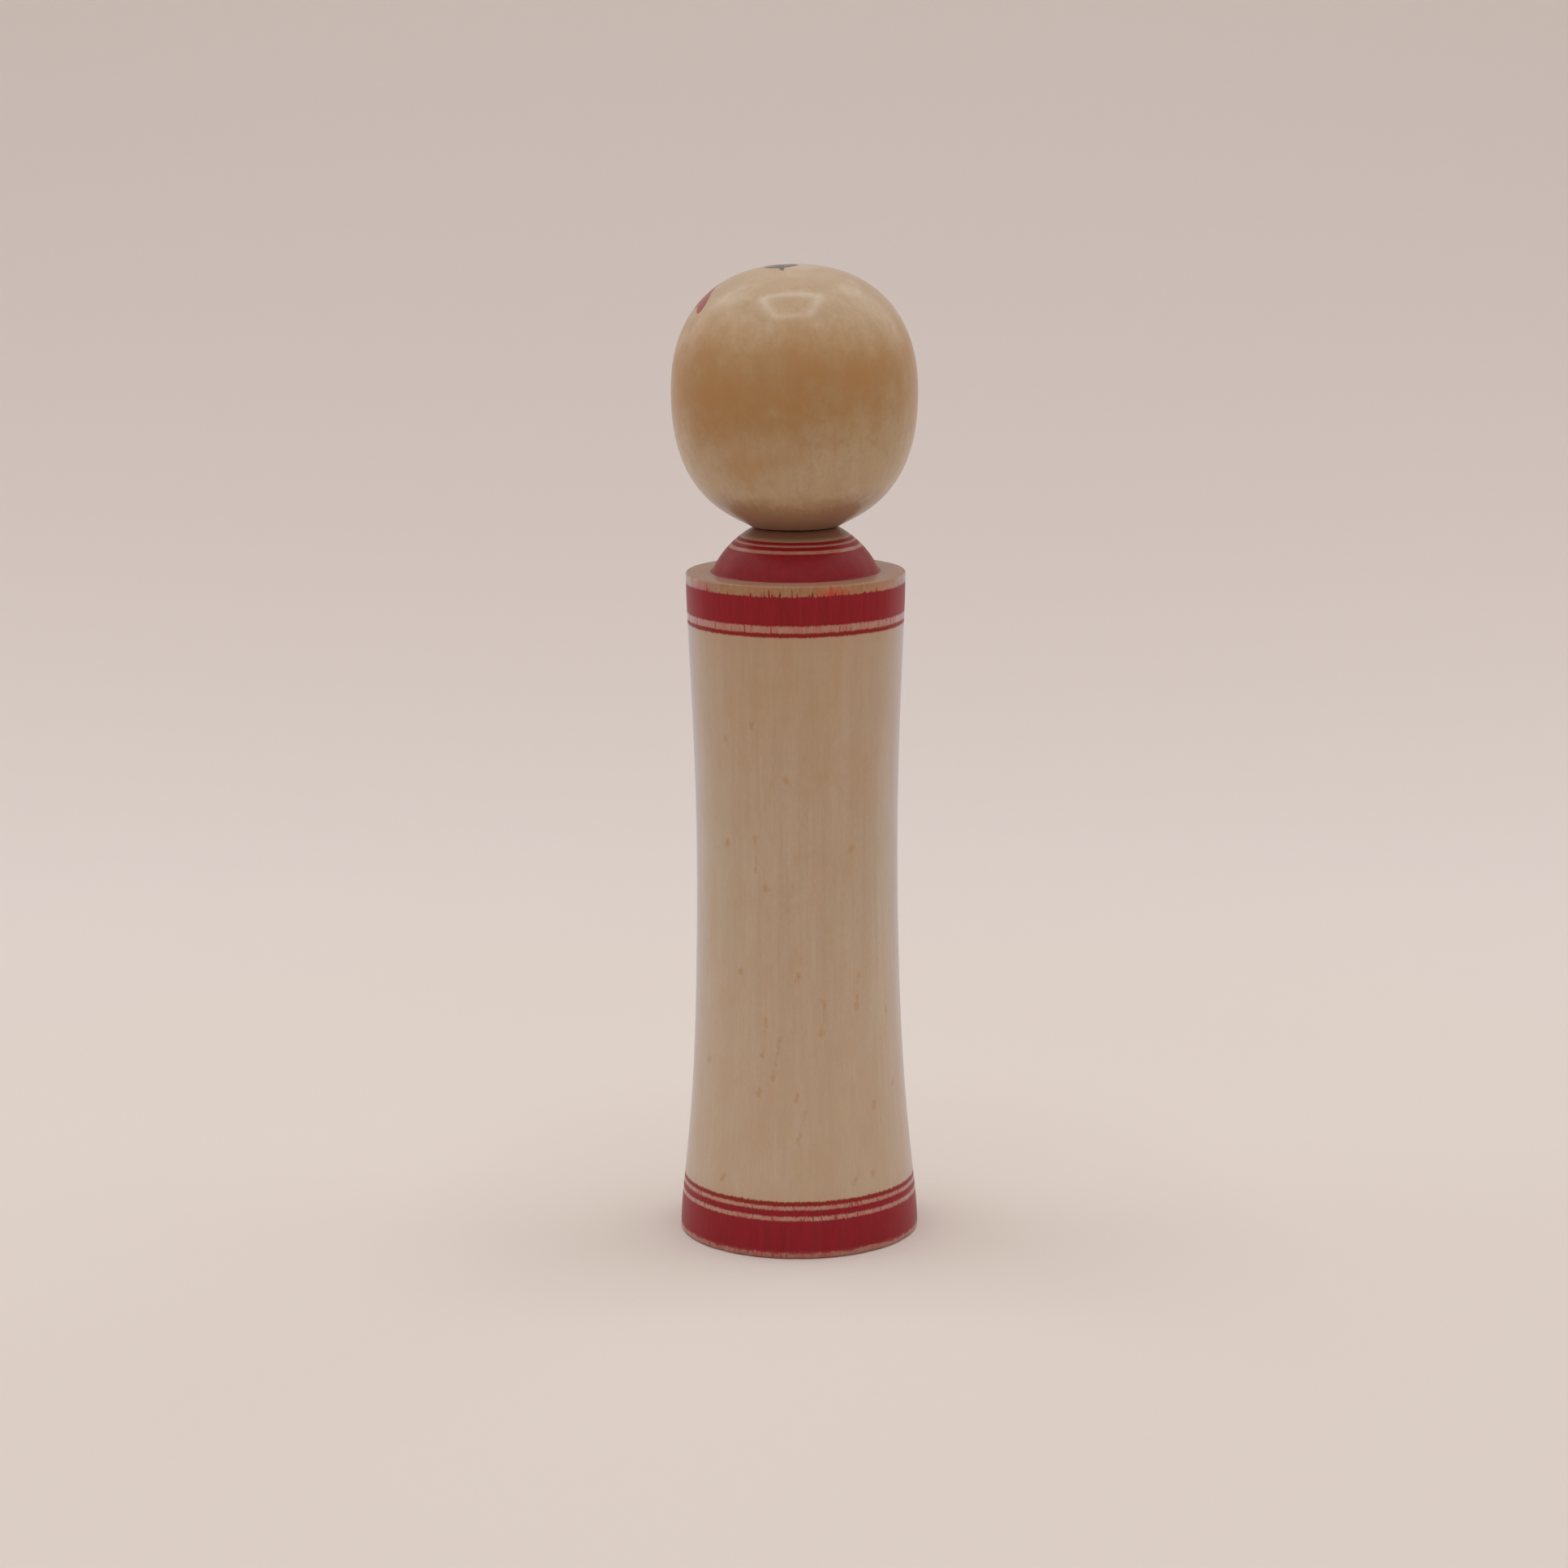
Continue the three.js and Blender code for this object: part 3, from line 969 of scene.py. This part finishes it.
def seamless_bowl(flat_radius, fillet_radius):
    """A round seamless floor that curves up into a wall all the way round."""
    profile = [(r, 0) for r in np.linspace(FLOOR_INNER_RING, flat_radius, FLOOR_RINGS)]
    for t in np.linspace(0, math.pi / 2, FILLET_RINGS)[1:]:
        profile.append((flat_radius + fillet_radius * math.sin(t), fillet_radius * (1 - math.cos(t))))
    verts = [(0, 0, 0)]
    faces = []
    for radius, height in profile:
        for k in range(FLOOR_SIDES):
            turn = 2 * math.pi * k / FLOOR_SIDES
            verts.append((radius * math.cos(turn), radius * math.sin(turn), height))
    for k in range(FLOOR_SIDES):
        faces.append((0, 1 + k, 1 + (k + 1) % FLOOR_SIDES))
    for ring in range(len(profile) - 1):
        low = 1 + ring * FLOOR_SIDES
        high = low + FLOOR_SIDES
        for k in range(FLOOR_SIDES):
            right = (k + 1) % FLOOR_SIDES
            faces.append((low + k, high + k, high + right, low + right))
    return add_mesh("floor", verts, faces)


def floor_material():
    graph = Graph("pale_paper")
    place = place_in_mm(graph)
    tooth = graph.noise(place, (0.6, 0.6, 0.6), 3.0, 0.6)
    tone = graph.noise(place, (0.004, 0.004, 0.004), 2.0, 0.5, 5.0)
    colour = graph.blend(tone, FLOOR_NEAR["dark"], FLOOR_NEAR["light"])
    # Painted light: the paper is coloured lighter going out from the doll, which gives the floor and bowl
    # their brightness at each distance.
    far = graph.node("VectorMath", {0: place}, operation="LENGTH").outputs["Value"]
    colour = graph.blend(graph.ease(far, 180.0, 480.0), colour, FLOOR_MIDDLE_PAINTED_LIGHTER)
    colour = graph.blend(graph.ease(far, 750.0, 1400.0), colour, FLOOR_FAR_PAINTED_LIGHTER)
    return finish_surface(graph, colour, 0.9, tooth, depth_mm=0.02, ior=1.3)


def panel(name, centre, turn, size_x, size_y, radiance):
    """A flat lit panel that the camera doesn't see. Before its turn it faces down."""
    data = bpy.data.lights.new(name, "AREA")
    data.shape = "RECTANGLE"
    data.size, data.size_y = size_x, size_y
    data.energy = radiance * math.pi * size_x * size_y
    data.color = LAMP_COLOUR
    lamp = add_object(name, data)
    lamp.matrix_world = Matrix.Translation(centre) @ turn
    lamp.visible_camera = False


def light_frame(height, towards_camera, to_right, far_half_width, near_half_width, half_depth, strip,
                radiance):
    """Four strips round an opening above the doll, as a lightbox lid holds them."""
    middle = BACK * towards_camera + RIGHT * to_right + Vector((0, 0, height))
    outline = ((-1, -far_half_width), (-1, far_half_width), (1, near_half_width), (1, -near_half_width))
    corners = [middle + BACK * side * half_depth + RIGHT * across for side, across in outline]
    for start, end in zip(corners, corners[1:] + corners[:1]):
        along = end - start
        turn = Matrix.Rotation(math.atan2(along.y, along.x), 4, "Z")
        panel("strip", (start + end) / 2, turn, along.length, strip, radiance)


def side_panels(away, degrees_behind, height, width, tall, radiance):
    """A lit panel up on each side of the doll, and somewhat behind it, as the camera sees them."""
    behind = math.radians(degrees_behind)
    for side in (-1, 1):
        direction = RIGHT * side * math.cos(behind) - BACK * math.sin(behind)
        centre = direction * away + Vector((0, 0, height))
        turn = (PANEL_TARGET - centre).to_track_quat("-Z", "Y").to_matrix().to_4x4()
        panel("side", centre, turn, width, tall, radiance)


def reflected_wall(name, radius, tall, half_turn, dark, bright):
    """A curved wall round the doll that only its gloss shows, and that gets brighter towards its top."""
    across = np.radians(np.linspace(-half_turn, half_turn, WALL_COLUMNS) + PHOTO_AZIMUTH)
    verts = [(radius * math.sin(t), -radius * math.cos(t), z) for z in (WALL_FOOT, tall) for t in across]
    faces = [(k, k + 1, WALL_COLUMNS + k + 1, WALL_COLUMNS + k) for k in range(WALL_COLUMNS - 1)]
    wall = add_mesh(name, verts, faces)
    wall.visible_camera = wall.visible_diffuse = wall.visible_shadow = wall.visible_transmission = False
    graph = Graph(name)
    z = graph.node("SeparateXYZ", {0: place_in_mm(graph)}).outputs[2]
    strength = graph.ease(z, 0.25 * tall / MM, tall / MM, dark, bright)
    shine = graph.node("Emission", {"Color": (*WALL_COLOUR, 1), "Strength": strength})
    x, y, _ = graph.node("SeparateXYZ", {0: graph.node("NewGeometry", {}).outputs["Position"]}).outputs
    forward = graph.add(graph.times(x, BACK.x / radius), graph.times(y, BACK.y / radius))
    solid = graph.ease(forward, FADE_FROM, FADE_TO)
    clear = graph.node("BsdfTransparent", {})
    surface = graph.node("MixShader", {0: solid, 1: clear.outputs[0], 2: shine.outputs[0]})
    graph.node("OutputMaterial", {"Surface": surface.outputs[0]})
    wall.data.materials.append(graph.material)


def soft_sky(colour, strength):
    world = bpy.data.worlds.new("soft_sky")
    world.use_nodes = True
    background = world.node_tree.nodes["Background"]
    background.inputs["Color"].default_value = (*colour, 1)
    background.inputs["Strength"].default_value = strength
    bpy.context.scene.world = world


def photo_camera():
    yaw = Matrix.Rotation(-CAMERA_YAW, 3, "Z")
    aim, across = yaw @ -BACK, yaw @ RIGHT
    forward = aim * math.cos(CAMERA_PITCH) - Vector((0, 0, math.sin(CAMERA_PITCH)))
    above = across.cross(forward)
    rolled = across * math.cos(CAMERA_ROLL) + above * math.sin(CAMERA_ROLL)
    upright = above * math.cos(CAMERA_ROLL) - across * math.sin(CAMERA_ROLL)
    data = bpy.data.cameras.new("camera")
    data.sensor_width = SENSOR_MM
    data.lens = LENS_MM
    camera = add_object("camera", data)
    place = BACK * CAMERA_AWAY + RIGHT * CAMERA_ACROSS + Vector((0, 0, CAMERA_HEIGHT))
    axes = Matrix((rolled, upright, -forward)).transposed().to_4x4()
    camera.matrix_world = Matrix.Translation(place) @ axes
    bpy.context.scene.camera = camera


PHOTO_AZIMUTH = 170
# From the doll to the camera, and to the right of the picture.
BACK = Vector((math.sin(math.radians(PHOTO_AZIMUTH)), -math.cos(math.radians(PHOTO_AZIMUTH)), 0))
RIGHT = Vector((math.cos(math.radians(PHOTO_AZIMUTH)), math.sin(math.radians(PHOTO_AZIMUTH)), 0))
LAMP_COLOUR = (0.93, 0.97, 1.0)
# What the side panels face.
PANEL_TARGET = Vector((0, 0, 0.12))
FLOOR_SIDES = 128
FLOOR_RINGS = 12
FLOOR_INNER_RING = 0.06
FILLET_RINGS = 33
FLOOR_NEAR = {"dark": (0.765, 0.695, 0.640), "light": (0.79, 0.725, 0.672)}
# The lighter colours farther out are painted light.
FLOOR_MIDDLE_PAINTED_LIGHTER = (0.810, 0.745, 0.722)
FLOOR_FAR_PAINTED_LIGHTER = (0.812, 0.757, 0.722)
WALL_COLUMNS = 49
WALL_FOOT = 0.004
WALL_COLOUR = (1, 0.96, 0.93)
# The reflected wall fades out between these two cosines of the angle from the camera's side.
FADE_FROM = -0.62
FADE_TO = -0.12
CAMERA_AWAY = 0.97508
CAMERA_HEIGHT = 0.30832
CAMERA_ACROSS = -0.00249
CAMERA_PITCH = 0.19682
CAMERA_ROLL = -0.00661
CAMERA_YAW = -0.0007
LENS_MM = 91.69
SENSOR_MM = 36


# ---------------------------------------- the scene

body = make_body()
body.data.materials.append(body_material())
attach(body, "body")
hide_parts("body")

head = make_head()
head.data.materials.append(head_material())
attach(head, "head")
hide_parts("head")

floor = seamless_bowl(flat_radius=0.45, fillet_radius=1.2)
floor.data.materials.append(floor_material())

soft_sky(colour=(1.0, 0.935, 0.89), strength=0.72)
light_frame(height=0.74, towards_camera=0.065, to_right=-0.020, far_half_width=0.176,
            near_half_width=0.128, half_depth=0.145, strip=0.042, radiance=6.8)
side_panels(away=0.62, degrees_behind=20, height=0.62, width=0.8, tall=0.6, radiance=0.66)
reflected_wall("dark_room", radius=0.45, tall=0.6, half_turn=130, dark=0.09, bright=0.5)
photo_camera()
bpy.context.scene.view_settings.view_transform = "Standard"
